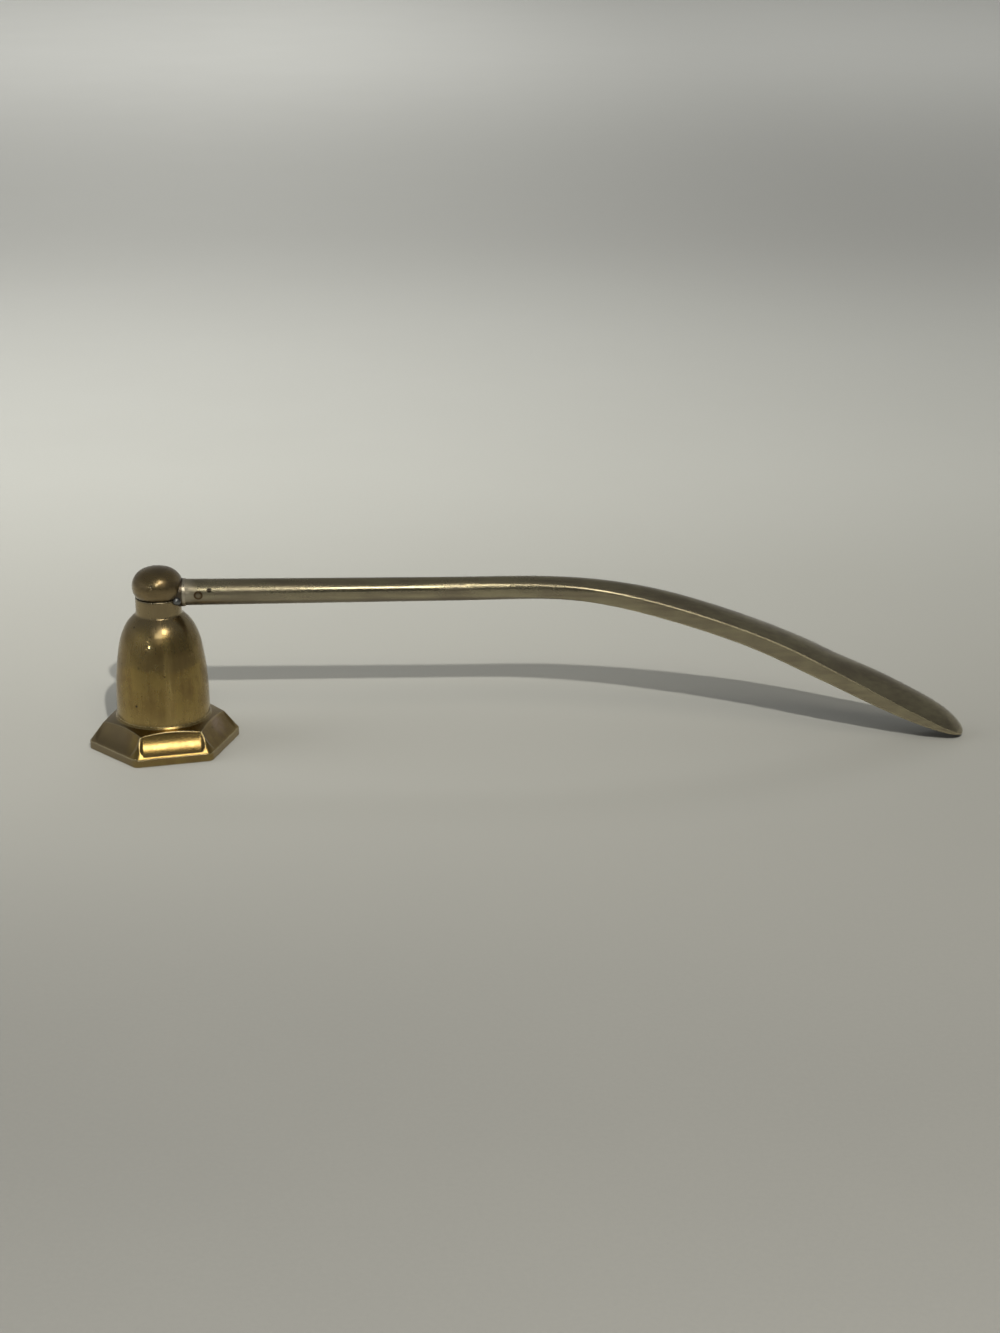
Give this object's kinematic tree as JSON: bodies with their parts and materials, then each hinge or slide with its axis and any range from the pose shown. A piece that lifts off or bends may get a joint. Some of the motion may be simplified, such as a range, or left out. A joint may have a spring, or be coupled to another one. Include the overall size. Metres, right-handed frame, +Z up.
{
  "type": "candle snuffer",
  "caption": "Aged brass candle snuffer: a hollow round bell on a six-sided foot, a ball finial, and a long rod handle that bends down into a domed leaf.",
  "frame": {"origin": "centre of the foot's underside, on the table, on the bell's axis", "axes": "+X along the handle from the bell to the tip, +Z up along the bell's axis"},
  "size_m": [0.2316, 0.038, 0.0484],
  "materials": {
    "bell_brass": "aged, polished on the high spots",
    "knob_brass": "aged, polished on the high spots",
    "handle_brass": "aged, brown patina, worn edges",
    "solder": "dull grey"
  },
  "bodies": {
    "root": {"bell": "bell_brass", "knob": "knob_brass", "handle": "handle_brass", "solder": "solder"}
  },
  "joints": []
}
